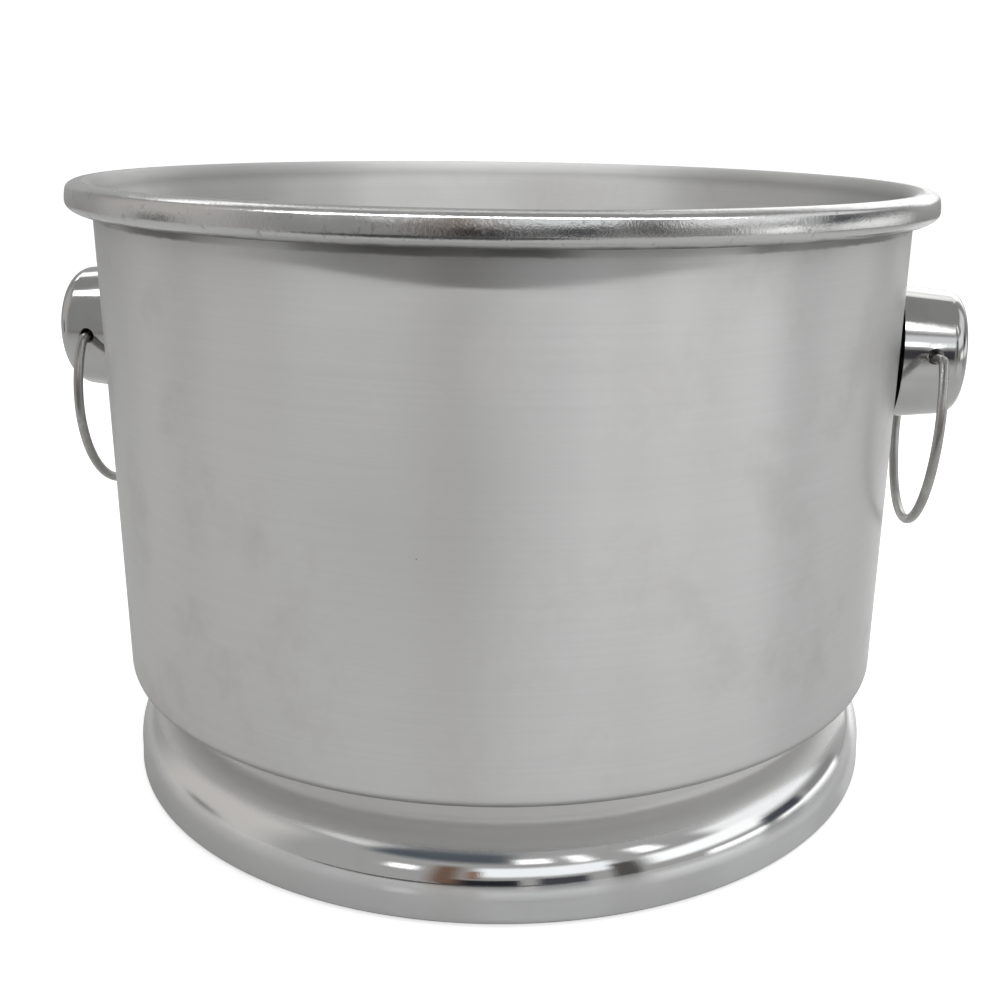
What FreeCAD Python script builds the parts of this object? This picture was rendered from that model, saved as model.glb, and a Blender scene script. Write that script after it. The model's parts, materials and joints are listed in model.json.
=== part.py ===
"""Open spun-aluminium bucket with a wired rim, a polished foot ring and two drop-ring handles.

Units are millimetres. The origin is the centre of the foot's resting plane, +Z is up and the
handles are on the X axis. Each sub-part is written to parts/NODE.step.
"""
import FreeCAD, Part
import math
import os

V = FreeCAD.Vector
ORIGIN = V(0, 0, 0)
UP = V(0, 0, 1)

# Driving dimensions
RIM_R = 150.0            # outside radius of the rolled rim
HEIGHT = 212.5           # resting plane to the top of the rim
SHEET = 1.5              # gauge of the spun sheet, shell and foot alike
BEAD_R = 4.95            # outside radius of the rim's rolled bead
CURL_END = -126.0        # angle, in degrees, where the curled edge stops short of the wall
WIRE_GAP = 0.1           # space between the curl and the hoop inside it
FLOOR_Z = 40.3           # underside of the bucket's floor
CORNER_R = 3.0           # outside radius where the wall meets the floor

SHOULDER_SIZE = 16.5     # radius of the foot's convex shoulder
SHOULDER_R = 124.1       # centre of that shoulder, from the axis
SHOULDER_Z = 8.9         # centre of that shoulder, above the resting plane
SHOULDER_END = 78.0      # angle where the shoulder runs into the neck
BAND_FLARE = 3.5         # outward lean of the foot's lowest band, in degrees
NECK_FILLET = 3.5        # concave radius between shoulder and neck
FLANGE_BEND = 2.5        # outside bend between neck and riveted flange
FLANGE_R = 103.0         # inner edge of the riveted flange
LIP_R = 133.0            # inner edge of the turned-in lip that the foot stands on
LIP_BEND = 2.0           # outside radius at the foot's bottom edge

RIVETS = 6
RIVET_START = 30.0       # bearing of the first rivet from +X, in degrees
RIVET_CIRCLE_R = 113.0
RIVET_R = 2.1
RIVET_HOLE_R = 2.15
RIVET_HEAD_R = 4.2
RIVET_HEAD_H = 1.6
RIVET_TAIL_R = 3.5
RIVET_TAIL_H = 1.5
RIVET_TAIL_EDGE_R = 0.5

HANDLE_Z = 154.7         # height of the bosses' axis
BOSS_R = 23.8            # radius of the boss where it meets the wall
BOSS_TAPER = 5.9         # how much its side narrows towards the face, in degrees
BOSS_BACK = 141.2        # flat back of the boss, from the bucket's axis
BOSS_FACE = 166.1        # crown of the boss's face, from the bucket's axis
BOSS_EDGE_R = 6.3        # rounding between the boss's side and face
BOSS_DOME_R = 69.0       # radius of the slightly domed face
BOSS_TURN = {"right": 6.0, "left": 0.0}    # how far each boss's cross hole is out of level, in degrees
PIVOT_R = 152.3          # cross hole and ring pivot, from the bucket's axis
CROSS_HOLE_R = 2.3
COUNTERSINK_R = 2.9      # widest part of the cone at each mouth of the cross hole

RING_WIRE_R = 1.7
RING_R = 37.1            # centreline radius of the ring
RING_DROP = 22.6         # ring's centre below its pivot
RING_BEND = 4.5          # centreline radius of the bends into the boss
RING_END = 12.0          # half the gap between the ring's two ends
RING_SEAT = 0.05         # space left under the wire in its hole
RING_SLIDE = {"right": -5.0, "left": -4.3}  # how far each loose ring has slid along its hole
RING_SWING = {"right": 3.0, "left": 0.0}    # how far each ring rests towards the wall, in degrees

SCREW_R = 2.95
SCREW_HOLE_R = 3.0       # tapped hole in the boss
SCREW_TIP = 148.6        # from the bucket's axis
TAPPED_END = 149.2
WALL_HOLE_R = 3.2
WASHER_R = 9.0
WASHER_BORE_R = 3.1
WASHER_T = 1.2
SEAL_FACE = 138.2        # inner face of the sealing washer, from the bucket's axis
SEAL_BORE_R = 3.05
SCREW_HEAD_R = 5.25
SCREW_HEAD_H = 3.3
HEX_ACROSS_FLATS = 4.0
HEX_DEPTH = 2.0

OVERRUN = 1.0            # how far a cutting tool reaches past the face it enters by
SAME_POINT = 1e-6        # two ends closer than this are one point

# Worked-out dimensions
BEAD_INNER_R = BEAD_R - SHEET
BEAD_CENTRE_R = RIM_R - BEAD_R
BEAD_CENTRE_Z = HEIGHT - BEAD_R
WALL_OUT = BEAD_CENTRE_R - BEAD_INNER_R
WALL_IN = WALL_OUT - SHEET
FLOOR_TOP = FLOOR_Z + SHEET
PIVOT_Z = HANDLE_Z - CROSS_HOLE_R + RING_WIRE_R + RING_SEAT
WASHER_FACE = SEAL_FACE - WASHER_T


def polar(centre, radius, degrees):
    """Point of the XZ half-plane at an angle round a centre given as (radius, height)."""
    angle = math.radians(degrees)
    return V(centre[0] + radius * math.cos(angle), 0, centre[1] + radius * math.sin(angle))


def arc(centre, radius, start, end):
    """Arc edge in the XZ half-plane, between two angles in degrees."""
    middle = (start + end) / 2
    points = [polar(centre, radius, angle) for angle in (start, middle, end)]
    return Part.Arc(*points).toShape()


def line(start, end):
    return Part.makeLine(start, end)


def closed_face(steps):
    """Face inside a loop of arcs, with straight edges wherever one step ends away from the next.

    A step is an arc edge or a single point.
    """
    edges = []
    first = None
    last = None
    for step in steps:
        is_edge = isinstance(step, Part.Shape)
        start = step.firstVertex(True).Point if is_edge else step
        end = step.lastVertex(True).Point if is_edge else step
        if last is None:
            first = start
        elif (start - last).Length > SAME_POINT:
            edges.append(line(last, start))
        if is_edge:
            edges.append(step)
        last = end
    if (first - last).Length > SAME_POINT:
        edges.append(line(last, first))
    return Part.Face(Part.Wire(edges))


def revolve(steps):
    return closed_face(steps).revolve(ORIGIN, UP, 360)


def rivet_places():
    for index in range(RIVETS):
        angle = math.radians(RIVET_START + 360 / RIVETS * index)
        yield V(RIVET_CIRCLE_R * math.cos(angle), RIVET_CIRCLE_R * math.sin(angle), 0)


def drill_rivet_holes(solid):
    for place in rivet_places():
        solid = solid.cut(Part.makeCylinder(RIVET_HOLE_R, HEIGHT, place, UP))
    return solid


def along_x(radius, start, end):
    """Cylinder on the right-hand handle's axis, between two distances from the bucket's axis."""
    return Part.makeCylinder(radius, end - start, V(start, 0, HANDLE_Z), V(1, 0, 0))


def other_side(solid):
    return solid.rotated(ORIGIN, UP, 180)


def bucket_shell():
    """Floor, wall and the rim curled outward over its hoop, spun from one disc."""
    bead = (BEAD_CENTRE_R, BEAD_CENTRE_Z)
    corner = (WALL_OUT - CORNER_R, FLOOR_Z + CORNER_R)
    shell = revolve([
        V(0, 0, FLOOR_Z),
        arc(corner, CORNER_R, -90, 0),
        arc(bead, BEAD_INNER_R, 180, CURL_END),
        arc(bead, BEAD_R, CURL_END, 180),
        arc(corner, CORNER_R - SHEET, 0, -90),
        V(0, 0, FLOOR_TOP),
    ])
    handle_holes = along_x(WALL_HOLE_R, -RIM_R, RIM_R)
    return drill_rivet_holes(shell.cut(handle_holes))


def rim_hoop():
    """Steel hoop that the rim is curled over."""
    return Part.makeTorus(BEAD_CENTRE_R, BEAD_INNER_R - WIRE_GAP, V(0, 0, BEAD_CENTRE_Z), UP)


def foot_ring():
    """Foot with a flared band, a convex shoulder, a narrow neck and a flange under the floor."""
    shoulder = (SHOULDER_R, SHOULDER_Z)
    shoulder_end = polar(shoulder, SHOULDER_SIZE + NECK_FILLET, SHOULDER_END)
    fillet = (shoulder_end.x, shoulder_end.z)
    neck_r = fillet[0] - NECK_FILLET
    bend = (neck_r - FLANGE_BEND, FLOOR_Z - FLANGE_BEND)

    flare = math.radians(BAND_FLARE)
    band_top = polar(shoulder, SHOULDER_SIZE, -BAND_FLARE)
    lip_x = band_top.x - (LIP_BEND + math.sin(flare) * (LIP_BEND - band_top.z)) / math.cos(flare)
    lip = (lip_x, LIP_BEND)

    foot = revolve([
        V(LIP_R, 0, 0),
        arc(lip, LIP_BEND, -90, BAND_FLARE),
        arc(shoulder, SHOULDER_SIZE, -BAND_FLARE, SHOULDER_END),
        arc(fillet, NECK_FILLET, SHOULDER_END + 180, 180),
        arc(bend, FLANGE_BEND, 0, 90),
        V(FLANGE_R, 0, FLOOR_Z),
        V(FLANGE_R, 0, FLOOR_Z - SHEET),
        arc(bend, FLANGE_BEND - SHEET, 90, 0),
        arc(fillet, NECK_FILLET + SHEET, 180, SHOULDER_END + 180),
        arc(shoulder, SHOULDER_SIZE - SHEET, SHOULDER_END, -BAND_FLARE),
        arc(lip, LIP_BEND - SHEET, BAND_FLARE, -90),
        V(LIP_R, 0, SHEET),
    ])
    return drill_rivet_holes(foot)


def foot_rivets():
    """Solid rivets through the floor and the flange, domed inside and upset below."""
    dome_r = (RIVET_HEAD_R ** 2 + RIVET_HEAD_H ** 2) / (2 * RIVET_HEAD_H)
    flange_under = FLOOR_Z - SHEET
    rivets = []
    for place in rivet_places():
        shank_base = place + V(0, 0, flange_under)
        shank = Part.makeCylinder(RIVET_R, FLOOR_TOP - flange_under, shank_base, UP)
        dome = Part.makeSphere(dome_r, place + V(0, 0, FLOOR_TOP + RIVET_HEAD_H - dome_r))
        above = Part.makeCylinder(RIVET_HEAD_R, RIVET_HEAD_H, place + V(0, 0, FLOOR_TOP), UP)
        tail_base = place + V(0, 0, flange_under - RIVET_TAIL_H)
        tail = Part.makeCylinder(RIVET_TAIL_R, RIVET_TAIL_H, tail_base, UP)
        tail = tail.makeFillet(RIVET_TAIL_EDGE_R, [edge for edge in tail.Edges if edge.Closed][1:])
        rivets.append(shank.fuse([dome.common(above), tail]).removeSplitter())
    return Part.makeCompound([rivet.Solids[0] for rivet in rivets])


def boss_side_r(distance):
    """Radius of the boss's tapered side at a distance from the bucket's axis."""
    return BOSS_R - (distance - WALL_OUT) * math.tan(math.radians(BOSS_TAPER))


def turned_boss(solid, side):
    """A handle's piece, turned with its boss so that the cross hole's -Y mouth rises."""
    return solid.rotated(V(0, 0, HANDLE_Z), V(1, 0, 0), -BOSS_TURN[side])


def boss(side):
    """Turned knob: tapered, rounded and slightly domed, saddle-cut against the wall."""
    taper = math.radians(BOSS_TAPER)
    dome_centre = BOSS_FACE - BOSS_DOME_R
    across = boss_side_r(dome_centre) * math.cos(taper) - BOSS_EDGE_R
    along = math.sqrt((BOSS_DOME_R - BOSS_EDGE_R) ** 2 - across ** 2)
    edge_x = dome_centre + across * math.sin(taper) + along * math.cos(taper)
    edge_r = across * math.cos(taper) - along * math.sin(taper)
    tangent = math.degrees(math.atan2(edge_r, edge_x - dome_centre))
    face = closed_face([
        V(BOSS_BACK, 0, 0),
        arc((dome_centre, 0), BOSS_DOME_R, 0, tangent),
        arc((edge_x, edge_r), BOSS_EDGE_R, tangent, 90 - BOSS_TAPER),
        V(BOSS_BACK, 0, boss_side_r(BOSS_BACK)),
    ])
    knob = face.revolve(ORIGIN, V(1, 0, 0), 360).translated(V(0, 0, HANDLE_Z))

    for way in (-1, 1):
        knob = knob.cut(turned_boss(cross_hole_half(way), side))
    knob = knob.cut(Part.makeCylinder(WALL_OUT, HEIGHT))
    return knob.cut(along_x(SCREW_HOLE_R, BOSS_BACK - OVERRUN, TAPPED_END))


def cross_hole_half(way):
    """Half of the hole for the ring, from the boss's middle out through its countersunk mouth."""
    centre = V(PIVOT_R, 0, HANDLE_Z)
    outward = V(0, way, 0)
    drill = Part.makeCylinder(CROSS_HOLE_R, BOSS_R + OVERRUN, centre, outward)
    depth = COUNTERSINK_R - CROSS_HOLE_R
    base = centre + outward * (boss_side_r(PIVOT_R) - depth)
    return drill.fuse(Part.makeCone(CROSS_HOLE_R, COUNTERSINK_R + depth, 2 * depth, base, outward))


def drop_ring(side):
    """Wire ring whose two ends are bent inward into the boss's cross hole."""
    bend_y = math.sqrt((RING_R - RING_BEND) ** 2 - (RING_DROP - RING_BEND) ** 2)
    tangent = math.degrees(math.atan2(RING_DROP - RING_BEND, bend_y))
    path = Part.Wire([
        line(V(RING_END, 0, 0), V(bend_y, 0, 0)),
        arc((bend_y, -RING_BEND), RING_BEND, 90, tangent),
        arc((0, -RING_DROP), RING_R, tangent, -180 - tangent),
        arc((-bend_y, -RING_BEND), RING_BEND, 180 - tangent, 90),
        line(V(-bend_y, 0, 0), V(-RING_END, 0, 0)),
    ])
    section = Part.Wire(Part.makeCircle(RING_WIRE_R, V(RING_END, 0, 0), V(1, 0, 0)))
    ring = path.makePipeShell([section], True, False)
    expected = math.pi * RING_WIRE_R ** 2 * path.Length
    print(f"drop ring: {path.Length:.1f} mm of wire, volume {ring.Volume / expected:.4f} of expected")
    hanging = ring.rotated(ORIGIN, UP, 90).rotated(ORIGIN, V(0, 1, 0), RING_SWING[side])
    return turned_boss(hanging.translated(V(PIVOT_R, RING_SLIDE[side], PIVOT_Z)), side)


def handle_screw():
    """Button-head hexagon-socket screw from inside the bucket into the boss."""
    crown_x = WASHER_FACE - SCREW_HEAD_H
    dome_r = (SCREW_HEAD_R ** 2 + SCREW_HEAD_H ** 2) / (2 * SCREW_HEAD_H)
    dome = Part.makeSphere(dome_r, V(crown_x + dome_r, 0, HANDLE_Z))
    head = dome.common(along_x(SCREW_HEAD_R, crown_x, WASHER_FACE))
    screw = head.fuse(along_x(SCREW_R, WASHER_FACE, SCREW_TIP)).removeSplitter()
    crown = V(crown_x, 0, HANDLE_Z)
    corner = V(0, HEX_ACROSS_FLATS / math.sqrt(3), 0)
    turns = [FreeCAD.Rotation(V(1, 0, 0), 60 * index) for index in range(7)]
    hexagon = Part.makePolygon([crown + turn.multVec(corner) for turn in turns])
    socket = Part.Face(hexagon).extrude(V(HEX_DEPTH, 0, 0))
    return screw.cut(socket)


def handle_washer():
    """Plain steel washer under the screw's head."""
    bore = along_x(WASHER_BORE_R, WASHER_FACE, SEAL_FACE)
    return along_x(WASHER_R, WASHER_FACE, SEAL_FACE).cut(bore)


def handle_seal():
    """Rubber washer pressed to the curve of the wall."""
    disc = along_x(WASHER_R, SEAL_FACE, WALL_OUT).cut(along_x(SEAL_BORE_R, SEAL_FACE, WALL_OUT))
    return disc.common(Part.makeCylinder(WALL_IN, HEIGHT))


def build():
    nodes = {
        "bucket_shell": bucket_shell(),
        "rim_hoop": rim_hoop(),
        "foot_ring": foot_ring(),
        "foot_rivets": foot_rivets(),
    }
    for side in ("right", "left"):
        handle = {
            "boss": boss(side),
            "drop_ring": drop_ring(side),
            "screw": handle_screw(),
            "washer": handle_washer(),
            "seal": handle_seal(),
        }
        for name, solid in handle.items():
            nodes[f"{side}_{name}"] = solid if side == "right" else other_side(solid)
    return nodes


def export(nodes):
    os.makedirs("parts", exist_ok=True)
    for name, shape in nodes.items():
        solids = shape.Solids
        valid = shape.isValid()
        print(f"{name}: {len(solids)} solid(s), valid {valid}, {shape.Volume / 1000:.2f} cm3")
        shape.exportStep(f"parts/{name}.step")


export(build())
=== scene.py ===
import json
import math

import bpy
from mathutils import Matrix, Vector, noise


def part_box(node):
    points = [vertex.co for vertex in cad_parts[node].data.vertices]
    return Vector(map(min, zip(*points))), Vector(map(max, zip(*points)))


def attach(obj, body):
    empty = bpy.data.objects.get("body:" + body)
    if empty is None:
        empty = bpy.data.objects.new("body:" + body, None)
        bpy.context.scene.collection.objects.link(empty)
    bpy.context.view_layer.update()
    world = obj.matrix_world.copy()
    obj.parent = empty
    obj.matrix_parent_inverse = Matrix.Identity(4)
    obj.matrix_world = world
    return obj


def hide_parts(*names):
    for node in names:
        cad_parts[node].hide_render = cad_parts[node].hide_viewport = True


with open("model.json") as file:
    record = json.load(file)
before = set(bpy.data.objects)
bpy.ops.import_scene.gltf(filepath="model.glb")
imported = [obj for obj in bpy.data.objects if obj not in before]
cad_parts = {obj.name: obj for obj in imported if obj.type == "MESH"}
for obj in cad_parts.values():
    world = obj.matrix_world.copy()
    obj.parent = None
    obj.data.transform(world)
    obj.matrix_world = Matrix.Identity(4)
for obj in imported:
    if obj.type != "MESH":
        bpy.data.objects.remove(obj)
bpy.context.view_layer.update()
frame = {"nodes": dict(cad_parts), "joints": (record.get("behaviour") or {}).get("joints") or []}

MM = 0.001

# Sizes taken from the frame
SHELL_LOW, SHELL_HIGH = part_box("bucket_shell")
RIM_R = SHELL_HIGH.x
RIM_TOP = SHELL_HIGH.z
FLOOR_Z = SHELL_LOW.z
HINGES = {joint["child"]: (Vector(joint["pos_m"]), Vector(joint["axis"])) for joint in frame["joints"]}
BOSS_LOW, BOSS_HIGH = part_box("right_boss")
BOSS_Z = (BOSS_LOW.z + BOSS_HIGH.z) / 2

# Shell
SHEET = 1.5 * MM
BEAD_R = 4.95 * MM
CURL_END = -126.0
# The hand-rolled bead is a little flat outside: arcs that run into one another, each given by the
# directions its surface faces at its two ends, in degrees, and its radius
BEAD_ARCS = [
    (CURL_END, -90.0, BEAD_R),
    (-90.0, -45.0, 5.72 * MM),
    (-45.0, 0.0, 2.75 * MM),
    (0.0, 15.0, 15.0 * MM),
    (15.0, 55.0, 2.365 * MM),
    (55.0, 90.0, 5.947 * MM),
    (90.0, 180.0, BEAD_R),
]
BEAD_EDGE = 0.2 * MM         # how far out from the wall the bead's own surface begins
BEAD_POLISHED_TO = 100.0     # the polish ends where the bead turns down inside the bucket
CORNER_R = 3.0 * MM
SHELL_STEPS = {"floor": 12, "corner": 10, "wall": 30, "curl": 32, "inner_wall": 24, "inner_corner": 8}
BEAD_STEP = 2.5              # degrees, with at least BEAD_LEAST steps in an arc
BEAD_LEAST = 5
# Unevenness: how far the surface moves, and how quickly its ripples change, as the radius of the circle
# on which the noise is read, its scale in a metre of height, and a seed
BEAD_WAVE = 0.10 * MM
BEAD_FINE = (30, 200, 3.0)
BEAD_FINE_PART = 0.3
BEAD_COARSE = (14, 160, 9.0)
WALL_WAVE = 0.02 * MM
WALL_RIPPLE = (2.5, 6, 21.0)

# Foot
SHOULDER_SIZE = 16.5 * MM
SHOULDER_R = 124.1 * MM
SHOULDER_Z = 8.9 * MM
SHOULDER_END = 78.0
BAND_FLARE = 3.5
NECK_FILLET = 3.5 * MM
FLANGE_BEND = 2.5 * MM
FLANGE_R = 103.0 * MM
LIP_R = 133.0 * MM
LIP_BEND = 2.0 * MM
FOOT_STEPS = {
    "lip_face": 6, "lip": 12, "shoulder": 72, "fillet": 12, "neck": 8, "bend": 8, "flange": 8,
    "inner_bend": 6, "inner_fillet": 10, "inner_shoulder": 40, "inner_lip": 8,
}
FOOT_WAVE = 0.015 * MM
FOOT_RIPPLE = (3.5, 60, 40.0)

# Ring handles
WIRE_R = 1.7 * MM
RING_R = 37.1 * MM
RING_DROP = 22.6 * MM
RING_BEND = 4.5 * MM
RING_END = 12.0 * MM
RING_SLIDE = {"right": -5.0 * MM, "left": -4.3 * MM}  # how far each ring has slid along its hole
RING_SWING = {"right": 3.0, "left": 0.0}  # lean towards the wall, in degrees
RING_SIDES = 32
RING_STEPS = {"end": 12, "bend": 14, "loop": 200}
RING_TIP_ROWS = 2            # rows over which each end of the wire is rounded off
RING_TIP_NARROWING = 0.14
DENT = 0.006                 # depth of the wire's dents as a part of its radius
DENT_ALONG = 130.0           # scale of the dents' noise in a metre along the ring, and round the wire
DENT_AROUND = 0.8

TURNS = 384                  # segments round the bucket
SHARP_EDGE = 32.0            # degrees at which an edge stays sharp
RING_SHARP_EDGE = 50.0
SAME_POINT = 1e-7            # metres
ON_AXIS = 1e-6

# Camera
CAMERA_TURN = 7.0            # degrees from the front towards the right-hand handle
CAMERA_DISTANCE = 461.75 * MM
CAMERA_HEIGHT = 236.1 * MM
CAMERA_PITCH = 17.706
CAMERA_YAW = 1.5526
CAMERA_ROLL = 0.890
FOCAL_OF_WIDTH = 1.24525     # focal length as a part of the picture's width
SENSOR_MM = 36.0
SHIFT_X = -0.03635
SHIFT_Y = 0.00713
NEAREST_SEEN = 0.02          # metres
FURTHEST_SEEN = 40.0

# Small lamps that only light the handle bosses: side, azimuth, elevation, width, height and watts, and
# how far each is from its own boss
KNOB_LAMP_AWAY = 1.0
KNOB_LAMPS = {
    "knob_lamp_high": ("right", -77.0, 51.0, 0.34, 0.24, 1.2),
    "knob_lamp_low": ("right", -83.0, 21.0, 0.34, 0.12, 0.45),
    "knob_lamp_back": ("right", 62.0, 44.0, 0.50, 0.40, 0.55),
    "knob_lamp_left": ("left", -156.0, 66.0, 0.40, 0.55, 2.3),
}

# Floor and backdrop, which only the camera sees, and the table, which only the metal reflects.
# Radius, drop under the bucket, grey, and the floor's and backdrop's own glow.
FLOOR_R = 9.0
FLOOR_DROP = 0.4 * MM
FLOOR_WHITE = 0.8
FLOOR_GLOW = 0.62
BACKDROP_R = 9.5
BACKDROP_GLOW = 1.1
BACKDROP_SEGMENTS = (48, 24)
DISC_SIDES = 96
MATT = 0.9                   # roughness of floor, backdrop and shade, and then of the table's top
TABLE_ROUGHNESS = 0.12
TABLE_R = 1.42
TABLE_DROP = 0.8 * MM
TABLE_GREY = 0.66
TABLE_SPECULAR = 0.5

# Azimuths of lamps, shade and surroundings are degrees round the bucket from the camera's right

# Dark part of the table between the bucket and the viewer
SHADE_AZIMUTH = -106.0
SHADE_OUT = 0.78
SHADE_R = 0.43
SHADE_DROP = 0.6 * MM
SHADE_GREY = 0.09

# Soft lamp above, not seen in the metal
OVERHEAD_SPOT = (0.15, 0.1, 1.6)
OVERHEAD_AIM = (0.0, 0.0, 0.1)
OVERHEAD_SIZE = 1.6
OVERHEAD_WATTS = 14.0

# Long lamp in front that throws the rim's shadow on the wall
STRIP_AZIMUTH = -93.0
STRIP_OUT = 1.0
STRIP_UP = 1.56
STRIP_WIDTH = 3.4
STRIP_HEIGHT = 0.06
STRIP_WATTS = 38.0

GLOSSY_BOUNCES = 8
MOST_BOUNCES = 12


# Geometry ---------------------------------------------------------------------------------------

def on_circle(centre, radius, degrees):
    """Point of a circle in the (radius, height) half-plane."""
    angle = math.radians(degrees)
    return (centre[0] + radius * math.cos(angle), centre[1] + radius * math.sin(angle))


def arc(centre, radius, start, end, steps):
    """Points of an arc, with both its ends, between two angles in degrees."""
    return [on_circle(centre, radius, start + (end - start) * step / steps) for step in range(steps + 1)]


def bead_outside(centre):
    """Points of the bead's outer surface, from the curl's end up, over and down to the wall."""
    spot = on_circle(centre, BEAD_R, CURL_END)
    points = [spot]
    for start, end, radius in BEAD_ARCS:
        middle = on_circle(spot, -radius, start)
        run = arc(middle, radius, start, end, max(BEAD_LEAST, round((end - start) / BEAD_STEP)))
        points += run[1:]
        spot = run[-1]
    return points


def straight(start, end, steps):
    """Points between two ends, without the ends."""
    return [
        (start[0] + (end[0] - start[0]) * k / steps, start[1] + (end[1] - start[1]) * k / steps)
        for k in range(1, steps)
    ]


def chain(*runs):
    """One outline from several, without the points that repeat."""
    outline = []
    for run in runs:
        for point in run:
            if not outline or math.dist(outline[-1], point) > SAME_POINT:
                outline.append(point)
    return outline


def new_object(name, vertices, faces):
    mesh = bpy.data.meshes.new(name)
    mesh.from_pydata(vertices, [], faces)
    mesh.validate()
    mesh.update()
    piece = bpy.data.objects.new(name, mesh)
    bpy.context.scene.collection.objects.link(piece)
    return piece


def smooth(piece, sharp_degrees=SHARP_EDGE):
    piece.data.shade_smooth()
    piece.data.set_sharp_from_angle(angle=math.radians(sharp_degrees))


def lathe(name, outline, wave, closed):
    """Turns an outline round Z. wave(r, z, angle) gives how far a point moves outward."""
    vertices = []
    rows = []
    for r, z in outline:
        if r < ON_AXIS:
            rows.append([len(vertices)] * TURNS)
            vertices.append((0.0, 0.0, z))
            continue
        row = []
        for turn in range(TURNS):
            angle = 2 * math.pi * turn / TURNS
            out = r + wave(r, z, angle)
            row.append(len(vertices))
            vertices.append((out * math.cos(angle), out * math.sin(angle), z))
        rows.append(row)
    faces = []
    pairs = list(zip(rows, rows[1:] + rows[:1])) if closed else list(zip(rows, rows[1:]))
    for low, high in pairs:
        for turn in range(TURNS):
            after = (turn + 1) % TURNS
            corners = [low[turn], low[after], high[after], high[turn]]
            faces.append(tuple(dict.fromkeys(corners)))
    return new_object(name, vertices, faces)


def ripple(angle, z, round_scale, height_scale, seed):
    """Smooth unevenness between -1 and 1 that closes on itself round the bucket."""
    spot = Vector((math.cos(angle) * round_scale, math.sin(angle) * round_scale, z * height_scale + seed))
    return noise.noise(spot, noise_basis="PERLIN_NEW")


# Pieces ------------------------------------------------------------------------------------------

def shell_piece():
    """Floor, wall and curled rim, with the curl a little flat and uneven as a hand-rolled one is."""
    bead = (RIM_R - BEAD_R, RIM_TOP - BEAD_R)
    inner = BEAD_R - SHEET
    wall_out = bead[0] - inner
    wall_in = wall_out - SHEET
    corner = (wall_out - CORNER_R, FLOOR_Z + CORNER_R)
    steps = SHELL_STEPS
    outline = chain(
        [(0.0, FLOOR_Z)],
        straight((0.0, FLOOR_Z), (corner[0], FLOOR_Z), steps["floor"]),
        arc(corner, CORNER_R, -90, 0, steps["corner"]),
        straight((wall_out, corner[1]), (wall_out, bead[1]), steps["wall"]),
        arc(bead, inner, 180, CURL_END, steps["curl"]),
        bead_outside(bead),
        [(wall_in, bead[1])],
        straight((wall_in, bead[1]), (wall_in, corner[1]), steps["inner_wall"]),
        arc(corner, CORNER_R - SHEET, 0, -90, steps["inner_corner"]),
        straight((corner[0], FLOOR_Z + SHEET), (0.0, FLOOR_Z + SHEET), steps["floor"]),
        [(0.0, FLOOR_Z + SHEET)],
    )

    def wave(r, z, angle):
        in_bead = r > wall_out + BEAD_EDGE and z > bead[1] - BEAD_R
        if in_bead:
            fine = ripple(angle, z, *BEAD_FINE)
            coarse = ripple(angle, z, *BEAD_COARSE)
            return BEAD_WAVE * (BEAD_FINE_PART * fine + coarse - 1.0) / 2
        return WALL_WAVE * (ripple(angle, z, *WALL_RIPPLE) - 1.0)

    piece = lathe("spun_shell", outline, wave, closed=False)
    smooth(piece)
    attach(piece, "bucket")
    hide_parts("bucket_shell")
    return piece


def foot_piece():
    """Mirror-polished foot: turned-in lip, flared band, convex shoulder, neck and flange."""
    shoulder = (SHOULDER_R, SHOULDER_Z)
    fillet = on_circle(shoulder, SHOULDER_SIZE + NECK_FILLET, SHOULDER_END)
    neck_r = fillet[0] - NECK_FILLET
    bend = (neck_r - FLANGE_BEND, FLOOR_Z - FLANGE_BEND)
    flare = math.radians(BAND_FLARE)
    band_top = on_circle(shoulder, SHOULDER_SIZE, -BAND_FLARE)
    lip_r = band_top[0] - (LIP_BEND + math.sin(flare) * (LIP_BEND - band_top[1])) / math.cos(flare)
    lip = (lip_r, LIP_BEND)
    steps = FOOT_STEPS
    outline = chain(
        [(LIP_R, 0.0)],
        straight((LIP_R, 0.0), (lip_r, 0.0), steps["lip_face"]),
        arc(lip, LIP_BEND, -90, BAND_FLARE, steps["lip"]),
        arc(shoulder, SHOULDER_SIZE, -BAND_FLARE, SHOULDER_END, steps["shoulder"]),
        arc(fillet, NECK_FILLET, SHOULDER_END + 180, 180, steps["fillet"]),
        straight((neck_r, fillet[1]), (neck_r, bend[1]), steps["neck"]),
        arc(bend, FLANGE_BEND, 0, 90, steps["bend"]),
        straight((bend[0], FLOOR_Z), (FLANGE_R, FLOOR_Z), steps["flange"]),
        [(FLANGE_R, FLOOR_Z), (FLANGE_R, FLOOR_Z - SHEET)],
        straight((FLANGE_R, FLOOR_Z - SHEET), (bend[0], FLOOR_Z - SHEET), steps["flange"]),
        arc(bend, FLANGE_BEND - SHEET, 90, 0, steps["inner_bend"]),
        straight((neck_r - SHEET, bend[1]), (neck_r - SHEET, fillet[1]), steps["neck"]),
        arc(fillet, NECK_FILLET + SHEET, 180, SHOULDER_END + 180, steps["inner_fillet"]),
        arc(shoulder, SHOULDER_SIZE - SHEET, SHOULDER_END, -BAND_FLARE, steps["inner_shoulder"]),
        arc(lip, LIP_BEND - SHEET, BAND_FLARE, -90, steps["inner_lip"]),
        [(LIP_R, SHEET)],
    )

    def wave(r, z, angle):
        return FOOT_WAVE * (ripple(angle, z, *FOOT_RIPPLE) - 1.0)

    piece = lathe("spun_foot", outline, wave, closed=True)
    smooth(piece)
    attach(piece, "bucket")
    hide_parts("foot_ring")
    return piece


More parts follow.
